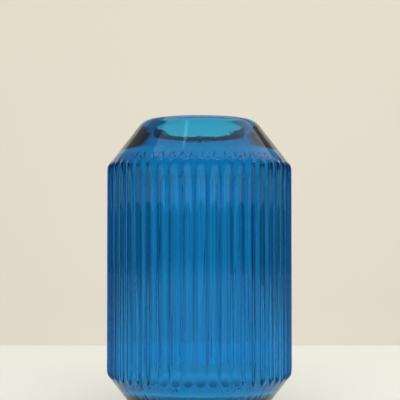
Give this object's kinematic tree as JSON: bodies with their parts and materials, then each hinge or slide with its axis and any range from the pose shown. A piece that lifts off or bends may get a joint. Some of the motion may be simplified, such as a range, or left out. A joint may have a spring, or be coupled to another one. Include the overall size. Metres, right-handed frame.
{
  "type": "fluted glass vase",
  "caption": "Clear blue glass vase: a fluted cylinder between a plain conical foot and a plain conical shoulder, with a round open mouth.",
  "frame": {"origin": "centre of the standing face, on the surface that the vase rests on", "axes": "+Z along the vase's axis, up through the mouth; +X and +Y lie in the standing face, each through a ridge"},
  "size_m": [0.092, 0.092, 0.15],
  "materials": {
    "glass": "clear blue glass, fire-polished"
  },
  "bodies": {
    "root": {"base": "glass", "foot": "glass", "fluted_body": "glass", "shoulder": "glass", "lip": "glass"}
  },
  "joints": []
}
